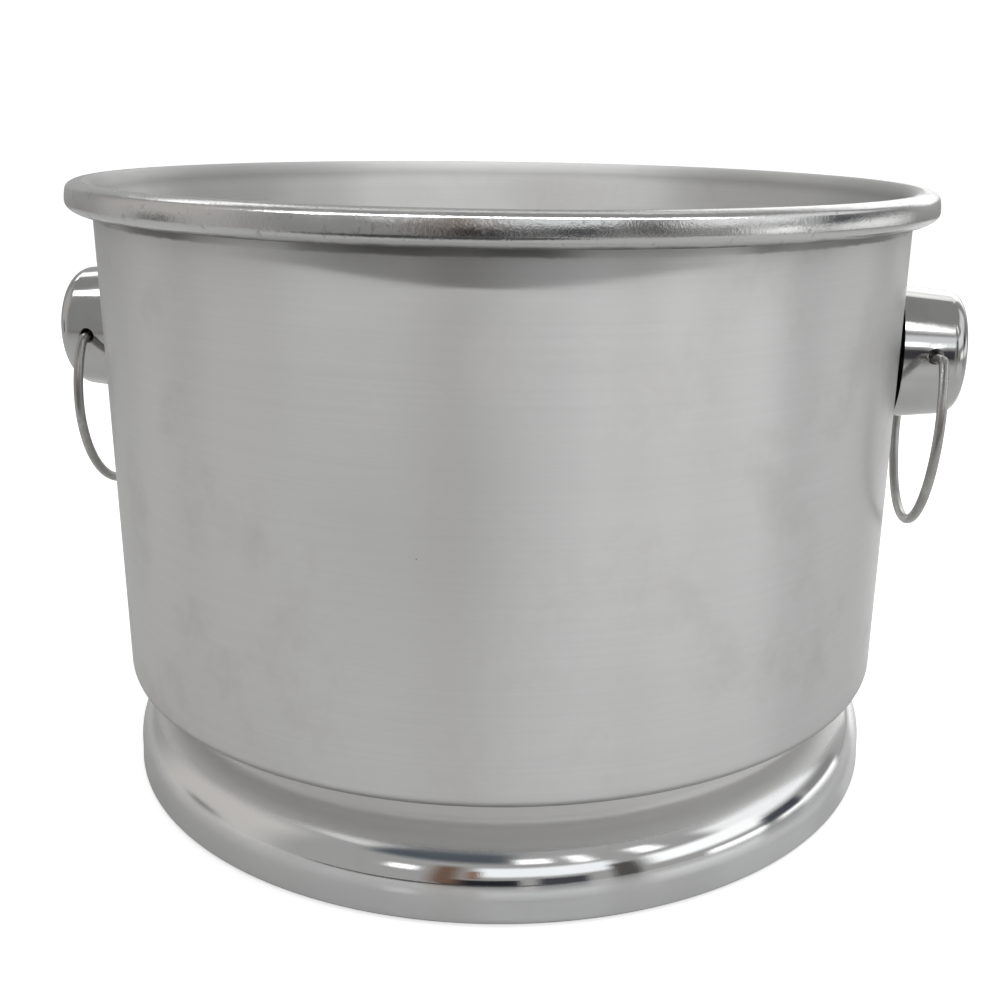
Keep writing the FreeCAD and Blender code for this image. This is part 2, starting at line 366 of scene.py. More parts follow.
def ring_path():
    """Centreline of a ring in its own plane, from one end round to the other: across and up."""
    half = math.sqrt((RING_R - RING_BEND) ** 2 - (RING_DROP - RING_BEND) ** 2)
    tangent = math.degrees(math.atan2(RING_DROP - RING_BEND, half))
    steps = RING_STEPS
    return chain(
        [(RING_END, 0.0)],
        straight((RING_END, 0.0), (half, 0.0), steps["end"]),
        arc((half, -RING_BEND), RING_BEND, 90, tangent, steps["bend"]),
        arc((0.0, -RING_DROP), RING_R, tangent, -180 - tangent, steps["loop"]),
        arc((-half, -RING_BEND), RING_BEND, 180 - tangent, 90, steps["bend"]),
        straight((-half, 0.0), (-RING_END, 0.0), steps["end"]),
        [(-RING_END, 0.0)],
    )


def ring_axes(side, pivot, hinge_axis):
    """Directions of a ring at rest: across it, up in its own plane, and out of that plane."""
    outward = Vector((math.copysign(1.0, pivot.x), 0.0, 0.0))
    across_way = -hinge_axis
    level_up = outward.cross(across_way)
    swing = math.radians(RING_SWING[side])
    up_way = level_up * math.cos(swing) + outward * math.sin(swing)
    out_way = outward * math.cos(swing) - level_up * math.sin(swing)
    return across_way, up_way, out_way


def wire_faces(rows):
    """Faces of a tube of RING_SIDES sides, with both ends closed."""
    faces = []
    for row in range(rows - 1):
        low, high = row * RING_SIDES, (row + 1) * RING_SIDES
        for turn in range(RING_SIDES):
            after = (turn + 1) % RING_SIDES
            faces.append((low + turn, high + turn, high + after, low + after))
    faces.append(tuple(range(RING_SIDES)))
    faces.append(tuple((rows - 1) * RING_SIDES + turn for turn in reversed(range(RING_SIDES))))
    return faces


def ring_piece(side):
    """Wire ring with its two ends bent into the boss, a little uneven as hand-bent wire is."""
    body = f"{side}_ring"
    pivot, hinge_axis = HINGES[body]
    across_way, up_way, out_way = ring_axes(side, pivot, hinge_axis)
    path = ring_path()
    last = len(path) - 1
    vertices = []
    grain = []
    travelled = 0.0
    for index, (across, up) in enumerate(path):
        before = path[max(index - 1, 0)]
        after = path[min(index + 1, last)]
        travelled += math.dist(before, path[index])
        along = Vector((after[0] - before[0], after[1] - before[1])).normalized()
        normal = Vector((-along.y, along.x))
        ease = min(index, last - index, RING_TIP_ROWS) / RING_TIP_ROWS
        radius = WIRE_R * (1 - RING_TIP_NARROWING * (1 - ease))
        middle = pivot + across_way * (RING_SLIDE[side] + across) + up_way * up
        for turn in range(RING_SIDES):
            angle = 2 * math.pi * turn / RING_SIDES
            spot = Vector((across * DENT_ALONG, up * DENT_ALONG, math.cos(angle) * DENT_AROUND))
            dent = 1 - DENT * (1 + noise.noise(spot))
            in_plane = (across_way * normal.x + up_way * normal.y) * math.cos(angle)
            vertices.append(middle + (in_plane + out_way * math.sin(angle)) * radius * dent)
            grain.append((travelled, math.cos(angle), math.sin(angle)))
    piece = new_object(f"{side}_wire_ring", vertices, wire_faces(len(path)))
    drawn = piece.data.attributes.new("drawn", "FLOAT_VECTOR", "POINT")
    for item, value in zip(drawn.data, grain):
        item.vector = value
    smooth(piece, RING_SHARP_EDGE)
    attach(piece, body)
    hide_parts(f"{side}_drop_ring")
    return piece


# Materials ---------------------------------------------------------------------------------------

# Finishes. A colour is red, green, blue and 1. A noise (noise, cloud, patches, grain, sand, pits, ragged,
# haze, grit, mottle, stain) is its scale in a metre, its detail and, where it isn't 0.5, its roughness.
# "lines" and "bands" of spun metal are detail, scale in a metre across the tool marks and scale along
# them. "spots" and "nicks" are cells in a metre and the distances, in cells, between which a spot fades.
# A range is where a pattern starts and where it is full, then what it goes between if that isn't 0 to 1.
# A bump is its strength and its height in metres, negative for a hollow.
USUAL = (0.3, 0.7)                       # most values of a noise pattern lie between these
MARK_TOPS = (0.4, 0.8)                   # and the higher ones between these
LINE_NOISE_ROUGHNESS = 0.6
WALL_MIDDLE = RIM_R - 2 * BEAD_R + SHEET / 2   # radius halfway through the wall's sheet
BEAD_MIDDLE_R = RIM_R - BEAD_R
CREVICE_Z = RIM_TOP - 12.4 * MM          # where the painted shade under the rim begins
ROUND_THE_AXIS = 0.25                    # turns the stretched reflections across the tool marks

SATIN = {
    "light": (0.695, 0.695, 0.69, 1.0),
    "dark": (0.675, 0.675, 0.67, 1.0),
    "metallic": 0.88,
    "stretch": 0.85,
    "roughness": (0.40, 0.45),
    "cloud": (9.0, 2.0),
    "lines": (2.0, 900.0, 7.0),
    "line_roughness": (-0.015, 0.015),
    "line_bump": (0.07, 0.01 * MM),
    "bands": (2.0, 160.0, 3.0),
    "band_bump": (0.15, 0.03 * MM),
}
SMUDGE = {
    "colour": (0.60, 0.59, 0.575, 1.0),
    "noise": (34.0, 4.0, 0.6),
    "range": (0.50, 0.72),
    "tint": 0.5,
    "roughness": 0.05,
}
SPECK = {
    "colour": (0.30, 0.29, 0.27, 1.0),
    "spots": (46.0, 0.014, 0.024),
    "tint": 0.8,
    "bump": (0.4, -0.04 * MM),
}
# Painted shade in the crevice under the rolled rim: ragged and patchy, on the outside of the wall behind
# the curl
CREVICE_SHADE = {
    "colour": (0.10, 0.095, 0.085, 1.0),
    "ragged": (160.0, 2.0),
    "ragged_height": 0.9 * MM,
    "range": (CREVICE_Z + 0.1 * MM, CREVICE_Z + 1.0 * MM),
    "outside": (WALL_MIDDLE, WALL_MIDDLE + 0.4 * MM),
    "top": (CREVICE_Z + 9.0 * MM, CREVICE_Z + 8.0 * MM),
    "patches": (16.0, 2.0),
    "patch_range": (0.35, 0.6, 0.05, 0.6),
    "roughness": 0.2,
}
# The wall's top turning into the rim, inside
LIP = {
    "colour": (0.60, 0.60, 0.595, 1.0),
    "range": (RIM_TOP - 9.0 * MM, RIM_TOP - 4.0 * MM),
    "roughness": 0.20,
}
# Painted shade on both sides of the seam between wall and foot, and how much of it there is at most
SEAM_SHADE_COLOUR = (0.30, 0.295, 0.285, 1.0)
SEAM_SHADE_ABOVE = (FLOOR_Z + 4.0 * MM, FLOOR_Z + 0.5 * MM, 0.0, 0.8)
SEAM_SHADE_BELOW = (FLOOR_Z - 5.5 * MM, FLOOR_Z - 2.0 * MM, 0.0, 0.55)

BEAD = {
    "light": (0.60, 0.60, 0.595, 1.0),
    "dull": (0.36, 0.35, 0.335, 1.0),
    "roughness": (0.13, 0.24),
    "patches": (48.0, 3.0),
    "patch_range": (0.40, 0.62),
    "lines": (3.0, 1800.0, 14.0),
    "line_bump": (0.2, 0.02 * MM),
    "grain": (800.0, 3.0, 0.6),
    "grain_in_patches": (0.25, 1.0),
    "grain_bump": (0.7, 0.12 * MM),
    "sand": (1900.0, 2.0, 0.6),
    "sand_bump": (0.7, 0.06 * MM),
    "pits": (420.0, 2.0),
    "pit_range": (0.62, 0.72),
    "pit_tint": 0.5,
    "pit_roughness": 0.1,
    "ragged": (120.0, 2.0),
    "ragged_height": 1.2 * MM,
    # where the painted shade on the bead's underside fades in, and how strong it gets
    "painted_shade_range": (CREVICE_Z + 4.5 * MM, CREVICE_Z + 3.3 * MM, 0.0, 0.75),
    "painted_shade_roughness": 0.4,
}

MIRROR = {
    "light": (0.86, 0.865, 0.865, 1.0),
    "haze_colour": (0.80, 0.80, 0.79, 1.0),
    "haze": (30.0, 4.0, 0.6),
    "haze_range": (0.45, 0.75, 0.0, 0.5),
    "roughness": (0.3, 0.75, 0.03, 0.08),
    "lines": (2.0, 1300.0, 6.0),
    "line_roughness": 0.04,
    "line_bump": (0.12, 0.012 * MM),
    "grit": (1500.0, 2.0, 0.6),
    "grit_bump": (0.25, 0.02 * MM),
}
# The neck, which no wheel reaches, dull and partly matt, its tint lifted near white as painted light
# against the shade under the wall's overhang, and the heights between which it begins
NECK = {
    "colour": (0.97, 0.965, 0.95, 1.0),
    "range": (20.5 * MM, 23.5 * MM),
    "metallic": 0.35,
    "roughness": 0.30,
}
# The top of the shoulder, where the polish grows hazy
SHOULDER_HAZE = {"range": (19.0 * MM, 23.0 * MM), "roughness": 0.08}
# Painted shade and hazier polish on the side towards the left-hand handle
LEFT_SHADE_AND_HAZE = {
    "colour": (0.74, 0.74, 0.735, 1.0),
    "range": (-30.0 * MM, -90.0 * MM),
    "tint": 0.6,
    "roughness": 0.12,
}

KNOB = {
    "light": (0.54, 0.54, 0.535, 1.0),
    "haze_colour": (0.48, 0.475, 0.46, 1.0),
    "haze": (90.0, 3.0),
    "haze_range": (0.45, 0.75, 0.0, 0.6),
    "roughness": (0.06, 0.12),
    "stretch": 0.45,
    "marks_across": 1500.0,
    "marks_along": 16.0,
    "line_detail": 3.0,
    "line_roughness": 0.06,
    "line_bump": (0.2, 0.015 * MM),
}

# Its "lines" are their scale in a metre along the wire, and round it
WIRE = {
    "light": (0.52, 0.515, 0.50, 1.0),
    "dark": (0.42, 0.41, 0.395, 1.0),
    "lines": (60.0, 5.0, 5.0),
    "line_detail": 3.0,
    "line_range": (0.4, 0.7),
    "line_roughness": 0.06,
    "line_bump": (0.3, 0.02 * MM),
    "mottle": (110.0, 3.0, 0.55),
    "mottle_range": (0.35, 0.7),
    "roughness": (0.24, 0.34),
    "nicks": (190.0, 0.06, 0.12),
    "nick_tint": 0.5,
    "nick_bump": (0.3, -0.03 * MM),
}

# Small fasteners: "stain_shade" darkens the metal's colour, and the roughness is parts of its mean
FASTENER = {
    "grain": (1500.0, 3.0),
    "grain_bump": (0.25, 0.03 * MM),
    "stain": (260.0, 3.0),
    "stain_range": (0.4, 0.75),
    "stain_shade": 0.72,
    "roughness": (0.8, 1.3),
}
STAINLESS = ((0.62, 0.61, 0.60, 1.0), 0.25)      # colour and mean roughness
RIVET = ((0.74, 0.74, 0.735, 1.0), 0.35)
HOOP = ((0.5, 0.49, 0.48, 1.0), 0.4)

RUBBER = {
    "black": (0.018, 0.018, 0.018, 1.0),
    "dust": (0.09, 0.088, 0.083, 1.0),
    "dust_noise": (300.0, 3.0),
    "dust_range": (0.5, 0.8, 0.0, 0.4),
    "roughness": (0.55, 0.75),
    "grain": (1800.0, 3.0),
    "grain_bump": (0.5, 0.05 * MM),
}


class Nodes:
    """Short calls for building one material's or world's nodes."""

    def __init__(self, tree):
        self.tree = tree

    def add(self, kind, inputs=None, **settings):
        node = self.tree.nodes.new(kind)
        for key, value in settings.items():
            setattr(node, key, value)
        for key, value in (inputs or {}).items():
            self.put(node.inputs[key], value)
        return node

    def put(self, socket, value):
        if isinstance(value, bpy.types.NodeSocket):
            self.tree.links.new(value, socket)
        else:
            socket.default_value = value

    def maths(self, operation, *values):
        node = self.add("ShaderNodeMath", operation=operation)
        for index, value in enumerate(values):
            self.put(node.inputs[index], value)
        return node.outputs[0]

    def times(self, value, factor):
        return self.maths("MULTIPLY", value, factor)

    def total(self, first, *others):
        for value in others:
            first = self.maths("ADD", first, value)
        return first

    def spread(self, value, low, high, to_low=0.0, to_high=1.0, kind="SMOOTHSTEP"):
        """Turns a value between low and high into one between to_low and to_high."""
        node = self.add("ShaderNodeMapRange", interpolation_type=kind, clamp=True)
        for index, item in enumerate((value, low, high, to_low, to_high)):
            self.put(node.inputs[index], item)
        return node.outputs[0]

    def evenly(self, value, low, high, to_low, to_high):
        return self.spread(value, low, high, to_low, to_high, "LINEAR")

    def noise(self, vector, scale, detail, roughness=0.5):
        node = self.add("ShaderNodeTexNoise", {
            "Vector": vector, "Scale": scale, "Detail": detail, "Roughness": roughness,
        })
        return node.outputs["Fac"]

    def combine(self, x, y, z):
        return self.add("ShaderNodeCombineXYZ", {"X": x, "Y": y, "Z": z}).outputs[0]

    def mix(self, factor, first, second):
        node = self.add("ShaderNodeMix", data_type="RGBA")
        self.put(node.inputs["Factor"], factor)
        self.put(node.inputs["A"], first)
        self.put(node.inputs["B"], second)
        return node.outputs["Result"]

    def bump(self, height, strength, distance, normal=None):
        inputs = {"Height": height, "Strength": strength, "Distance": distance}
        if normal is not None:
            inputs["Normal"] = normal
        return self.add("ShaderNodeBump", inputs).outputs["Normal"]


def new_material(name):
    material = bpy.data.materials.new(name)
    material.use_nodes = True
    material.node_tree.nodes.clear()
    nodes = Nodes(material.node_tree)
    shader = nodes.add("ShaderNodeBsdfPrincipled", {"Metallic": 1.0})
    output = nodes.add("ShaderNodeOutputMaterial")
    nodes.put(output.inputs["Surface"], shader.outputs["BSDF"])
    return material, nodes, shader


def place(nodes):
    """Object coordinates in metres: whole, by axis, and the distance from the bucket's axis."""
    vector = nodes.add("ShaderNodeTexCoord").outputs["Object"]
    parts = nodes.add("ShaderNodeSeparateXYZ", {"Vector": vector})
    x, y, z = (parts.outputs[axis] for axis in "XYZ")
    radius = nodes.maths("SQRT", nodes.total(nodes.times(x, x), nodes.times(y, y)))
    return vector, x, y, z, radius


def spun_lines(nodes, detail, fine, drift):
    """Tool marks that run round the bucket: quick change across them, slow change along them."""
    _, x, y, z, radius = place(nodes)
    across = nodes.times(nodes.total(z, radius), fine)
    lines = nodes.combine(nodes.times(x, drift), nodes.times(y, drift), across)
    return nodes.noise(lines, 1.0, detail, LINE_NOISE_ROUGHNESS)


def specks(nodes, vector, per_metre, low, high):
    """1 at a few scattered small spots, 0 elsewhere."""
    cells = nodes.add("ShaderNodeTexVoronoi", {"Vector": vector, "Scale": per_metre})
    return nodes.spread(cells.outputs["Distance"], low, high, 1.0, 0.0)


def stretch_across(nodes, shader, axis, amount):
    """Spreads reflections across tool marks that run round an axis."""
    shader.inputs["Anisotropic"].default_value = amount
    shader.inputs["Anisotropic Rotation"].default_value = ROUND_THE_AXIS
    tangent = nodes.add("ShaderNodeTangent", direction_type="RADIAL", axis=axis)
    nodes.put(shader.inputs["Tangent"], tangent.outputs[0])


def crevice_shade(nodes, vector, z, radius):
    """Painted shade, ragged and patchy, on the outside of the wall where it goes up behind the rim."""
    ragged = nodes.times(nodes.noise(vector, *CREVICE_SHADE["ragged"]), CREVICE_SHADE["ragged_height"])
    painted_shade = nodes.spread(nodes.total(z, ragged), *CREVICE_SHADE["range"])
    painted_shade = nodes.times(painted_shade, nodes.spread(radius, *CREVICE_SHADE["outside"]))
    painted_shade = nodes.times(painted_shade, nodes.spread(z, *CREVICE_SHADE["top"]))
    return nodes.times(painted_shade, nodes.spread(nodes.noise(vector, *CREVICE_SHADE["patches"]), *CREVICE_SHADE["patch_range"]))


def satin_material():
    """Satin spun aluminium: fine tool marks, faint smudges, a few specks, painted shade under the rim and
    at the seam with the foot.
    """
    material, nodes, shader = new_material("satin_spun_aluminium")
    vector, _, _, z, radius = place(nodes)
    lines = spun_lines(nodes, *SATIN["lines"])
    bands = spun_lines(nodes, *SATIN["bands"])
    smudge = nodes.spread(nodes.noise(vector, *SMUDGE["noise"]), *SMUDGE["range"])
    cloud = nodes.noise(vector, *SATIN["cloud"])
    speck = specks(nodes, vector, *SPECK["spots"])
    painted_shade = crevice_shade(nodes, vector, z, radius)
    lip = nodes.spread(z, *LIP["range"])

    tint = nodes.mix(nodes.spread(lines, *USUAL), SATIN["dark"], SATIN["light"])
    tint = nodes.mix(nodes.times(smudge, SMUDGE["tint"]), tint, SMUDGE["colour"])
    tint = nodes.mix(nodes.times(speck, SPECK["tint"]), tint, SPECK["colour"])
    # painted shade in the crevice under the rim
    tint = nodes.mix(painted_shade, tint, CREVICE_SHADE["colour"])
    tint = nodes.mix(lip, tint, LIP["colour"])
    # painted shade above the seam with the foot
    tint = nodes.mix(nodes.spread(z, *SEAM_SHADE_ABOVE), tint, SEAM_SHADE_COLOUR)
    nodes.put(shader.inputs["Base Color"], tint)
    nodes.put(shader.inputs["Roughness"], nodes.total(
        nodes.evenly(cloud, *USUAL, *SATIN["roughness"]),
        nodes.times(lip, LIP["roughness"]),
        nodes.evenly(lines, *USUAL, *SATIN["line_roughness"]),
        nodes.times(smudge, SMUDGE["roughness"]),
        nodes.times(painted_shade, CREVICE_SHADE["roughness"]),
    ))
    shader.inputs["Metallic"].default_value = SATIN["metallic"]
    stretch_across(nodes, shader, "Z", SATIN["stretch"])
    normal = nodes.bump(lines, *SATIN["line_bump"])
    normal = nodes.bump(bands, *SATIN["band_bump"], normal)
    nodes.put(shader.inputs["Normal"], nodes.bump(speck, *SPECK["bump"], normal))
    return material


def bead_material():
    """The rolled rim: buffed over the marks of the rolling tool, sandy, with painted shade low down on
    its underside.
    """
    material, nodes, shader = new_material("rolled_rim_aluminium")
    vector, _, _, z, _ = place(nodes)
    lines = spun_lines(nodes, *BEAD["lines"])
    grain = nodes.noise(vector, *BEAD["grain"])
    sand = nodes.noise(vector, *BEAD["sand"])
    patch = nodes.spread(nodes.noise(vector, *BEAD["patches"]), *BEAD["patch_range"])
    pits = nodes.spread(nodes.noise(vector, *BEAD["pits"]), *BEAD["pit_range"])
    ragged = nodes.times(nodes.noise(vector, *BEAD["ragged"]), BEAD["ragged_height"])
    # painted shade low down on the bead's underside
    painted_shade = nodes.spread(nodes.total(z, ragged), *BEAD["painted_shade_range"])
    tint = nodes.mix(nodes.times(pits, BEAD["pit_tint"]), BEAD["light"], BEAD["dull"])
    nodes.put(shader.inputs["Base Color"], nodes.mix(painted_shade, tint, CREVICE_SHADE["colour"]))
    nodes.put(shader.inputs["Roughness"], nodes.total(
        nodes.evenly(patch, 0.0, 1.0, *BEAD["roughness"]),
        nodes.times(painted_shade, BEAD["painted_shade_roughness"]),
        nodes.times(pits, BEAD["pit_roughness"]),
    ))
    grit = nodes.times(grain, nodes.evenly(patch, 0.0, 1.0, *BEAD["grain_in_patches"]))
    normal = nodes.bump(grit, *BEAD["grain_bump"])
    normal = nodes.bump(sand, *BEAD["sand_bump"], normal)
    nodes.put(shader.inputs["Normal"], nodes.bump(lines, *BEAD["line_bump"], normal))
    return material


def mirror_material():
    """Buffed foot: near-mirror on band and shoulder, hazier on one side with painted shade there, dull in
    the neck with painted light on its tint, and painted shade at the seam.
    """
    material, nodes, shader = new_material("buffed_aluminium")
    vector, x, _, z, _ = place(nodes)
    lines = spun_lines(nodes, *MIRROR["lines"])
    haze = nodes.noise(vector, *MIRROR["haze"])
    grit = nodes.noise(vector, *MIRROR["grit"])
    neck = nodes.spread(z, *NECK["range"])
    high = nodes.spread(z, *SHOULDER_HAZE["range"])
    left_shade_and_haze = nodes.spread(x, *LEFT_SHADE_AND_HAZE["range"])
    tint = nodes.mix(nodes.spread(haze, *MIRROR["haze_range"]), MIRROR["light"], MIRROR["haze_colour"])
    # painted shade on the side towards the left-hand handle
    tint = nodes.mix(nodes.times(left_shade_and_haze, LEFT_SHADE_AND_HAZE["tint"]), tint, LEFT_SHADE_AND_HAZE["colour"])
    # painted light: the neck's tint lifted near white against its shade
    tint = nodes.mix(neck, tint, NECK["colour"])
    # painted shade below the seam with the wall
    nodes.put(shader.inputs["Base Color"], nodes.mix(nodes.spread(z, *SEAM_SHADE_BELOW), tint, SEAM_SHADE_COLOUR))
    nodes.put(shader.inputs["Metallic"], nodes.evenly(neck, 0.0, 1.0, 1.0, NECK["metallic"]))
    nodes.put(shader.inputs["Roughness"], nodes.total(
        nodes.evenly(haze, *MIRROR["roughness"]),
        nodes.spread(lines, *MARK_TOPS, 0.0, MIRROR["line_roughness"]),
        nodes.times(high, SHOULDER_HAZE["roughness"]),
        nodes.times(left_shade_and_haze, LEFT_SHADE_AND_HAZE["roughness"]),
        nodes.times(neck, NECK["roughness"]),
    ))
    normal = nodes.bump(lines, *MIRROR["line_bump"])
    nodes.put(shader.inputs["Normal"], nodes.bump(grit, *MIRROR["grit_bump"], normal))
    return material


def boss_material():
    """Turned and buffed knob: tool marks round its own axis, which lies along X."""
    material, nodes, shader = new_material("turned_knob_aluminium")
    vector, x, y, z, _ = place(nodes)
    up = nodes.maths("SUBTRACT", z, BOSS_Z)
    from_axis = nodes.maths("SQRT", nodes.total(nodes.times(y, y), nodes.times(up, up)))
    depth = nodes.maths("SUBTRACT", nodes.maths("ABSOLUTE", x), from_axis)
    marks = nodes.combine(
        nodes.times(depth, KNOB["marks_across"]),
        nodes.times(y, KNOB["marks_along"]),
        nodes.times(up, KNOB["marks_along"]),
    )
    lines = nodes.noise(marks, 1.0, KNOB["line_detail"], LINE_NOISE_ROUGHNESS)
    haze = nodes.noise(vector, *KNOB["haze"])
    tint = nodes.mix(nodes.spread(haze, *KNOB["haze_range"]), KNOB["light"], KNOB["haze_colour"])
    nodes.put(shader.inputs["Base Color"], tint)
    nodes.put(shader.inputs["Roughness"], nodes.total(
        nodes.evenly(haze, *USUAL, *KNOB["roughness"]),
        nodes.spread(lines, *MARK_TOPS, 0.0, KNOB["line_roughness"]),
    ))
    stretch_across(nodes, shader, "X", KNOB["stretch"])
    nodes.put(shader.inputs["Normal"], nodes.bump(lines, *KNOB["line_bump"]))
    return material


def wire_material():
    """Drawn wire: satin, with draw lines along it and darker handling marks."""
    material, nodes, shader = new_material("drawn_ring_wire")
    drawn = nodes.add("ShaderNodeAttribute", attribute_name="drawn").outputs["Vector"]
    stretched = nodes.add("ShaderNodeVectorMath", operation="MULTIPLY")
    nodes.put(stretched.inputs[0], drawn)
    nodes.put(stretched.inputs[1], WIRE["lines"])
    lines = nodes.noise(stretched.outputs[0], 1.0, WIRE["line_detail"], LINE_NOISE_ROUGHNESS)
    vector = place(nodes)[0]
    mottle = nodes.noise(vector, *WIRE["mottle"])
    nick = specks(nodes, vector, *WIRE["nicks"])
    tint = nodes.mix(nodes.spread(mottle, *WIRE["mottle_range"]), WIRE["light"], WIRE["dark"])
    tint = nodes.mix(nodes.times(nick, WIRE["nick_tint"]), tint, SPECK["colour"])
    nodes.put(shader.inputs["Base Color"], tint)
    nodes.put(shader.inputs["Roughness"], nodes.total(
        nodes.evenly(mottle, *USUAL, *WIRE["roughness"]),
        nodes.spread(lines, *WIRE["line_range"], 0.0, WIRE["line_roughness"]),
    ))
    normal = nodes.bump(lines, *WIRE["line_bump"])
    nodes.put(shader.inputs["Normal"], nodes.bump(nick, *WIRE["nick_bump"], normal))
    return material


def fastener_material(name, colour, roughness):
    """Bright metal of the small fasteners, with a fine all-over grain and a few stains."""
    material, nodes, shader = new_material(name)
    vector = place(nodes)[0]
    grain = nodes.noise(vector, *FASTENER["grain"])
    stain = nodes.spread(nodes.noise(vector, *FASTENER["stain"]), *FASTENER["stain_range"])
    dark = (*(FASTENER["stain_shade"] * part for part in colour[:3]), 1.0)
    low, high = (roughness * part for part in FASTENER["roughness"])
    nodes.put(shader.inputs["Base Color"], nodes.mix(stain, colour, dark))
    nodes.put(shader.inputs["Roughness"], nodes.evenly(grain, *USUAL, low, high))
    nodes.put(shader.inputs["Normal"], nodes.bump(grain, *FASTENER["grain_bump"]))
    return material


def rubber_material():
    """Matt black sealing rubber with a moulded grain and a little dust."""
    material, nodes, shader = new_material("seal_rubber")
    vector = place(nodes)[0]
    grain = nodes.noise(vector, *RUBBER["grain"])
    dust = nodes.spread(nodes.noise(vector, *RUBBER["dust_noise"]), *RUBBER["dust_range"])
    shader.inputs["Metallic"].default_value = 0.0
    nodes.put(shader.inputs["Base Color"], nodes.mix(dust, RUBBER["black"], RUBBER["dust"]))
    nodes.put(shader.inputs["Roughness"], nodes.evenly(grain, *USUAL, *RUBBER["roughness"]))
    nodes.put(shader.inputs["Normal"], nodes.bump(grain, *RUBBER["grain_bump"]))
    return material


def wear(piece, *materials):
    piece.data.materials.clear()
    for material in materials:
        piece.data.materials.append(material)


def wear_node(node, material):
    for slot in frame["nodes"][node].material_slots:
        slot.material = material


def polish_bead(piece):
    """Gives the outside of the curl the second material of the shell."""
    wall_out = RIM_R - 2 * BEAD_R + SHEET
    for face in piece.data.polygons:
        centre = face.center
        out = math.hypot(centre.x, centre.y)
        facing = math.degrees(math.atan2(centre.z - (RIM_TOP - BEAD_R), out - BEAD_MIDDLE_R))
        if out > wall_out + BEAD_EDGE and facing < BEAD_POLISHED_TO:
            face.material_index = 1


# Stage, light and camera -------------------------------------------------------------------------

def spot_round(azimuth, out, up):
    """Point at an azimuth in degrees from the camera's right, a distance out from the bucket's axis."""
    turn = math.radians(azimuth + CAMERA_TURN)
    return Vector((out * math.cos(turn), out * math.sin(turn), up))


def disc(name, radius, z):
    angles = [2 * math.pi * side / DISC_SIDES for side in range(DISC_SIDES)]
    vertices = [(radius * math.cos(angle), radius * math.sin(angle), z) for angle in angles]
    return new_object(name, vertices, [tuple(range(DISC_SIDES))])


def seen_by(piece, camera, reflections):
    piece.visible_camera = camera
    piece.visible_diffuse = reflections
    piece.visible_glossy = reflections
    piece.visible_transmission = reflections
    piece.visible_volume_scatter = False
    piece.visible_shadow = False


def plain_material(name, grey, glow=0.0, specular=0.0, roughness=MATT):
    """Even finish of the stage: matt grey that may glow, or the slightly glossy table top."""
    material, nodes, shader = new_material(name)
    shader.inputs["Metallic"].default_value = 0.0
    shader.inputs["Roughness"].default_value = roughness
    shader.inputs["Specular IOR Level"].default_value = specular
    shader.inputs["Base Color"].default_value = (grey, grey, grey, 1.0)
    shader.inputs["Emission Color"].default_value = (1.0, 1.0, 1.0, 1.0)
    shader.inputs["Emission Strength"].default_value = glow
    return material


def stage():
    """White floor and backdrop for the eye, and a pale grey table of real size for the reflections."""
    floor = disc("floor", FLOOR_R, -FLOOR_DROP)
    wear(floor, plain_material("white_floor", FLOOR_WHITE, FLOOR_GLOW))
    seen_by(floor, camera=True, reflections=False)
    table = disc("table", TABLE_R, -TABLE_DROP)
    polished = plain_material("pale_table", TABLE_GREY, 0.0, TABLE_SPECULAR, TABLE_ROUGHNESS)
    wear(table, polished)
    seen_by(table, camera=False, reflections=True)
    shade = disc("table_shade", SHADE_R, -SHADE_DROP)
    shade.location = spot_round(SHADE_AZIMUTH, SHADE_OUT, 0.0)
    wear(shade, plain_material("shaded_table", SHADE_GREY))
    seen_by(shade, camera=False, reflections=True)
    segments, rings = BACKDROP_SEGMENTS
    bpy.ops.mesh.primitive_uv_sphere_add(segments=segments, ring_count=rings, radius=BACKDROP_R)
    backdrop = bpy.context.object
    backdrop.name = "backdrop"
    wear(backdrop, plain_material("white_backdrop", 0.0, BACKDROP_GLOW))
    seen_by(backdrop, camera=True, reflections=False)


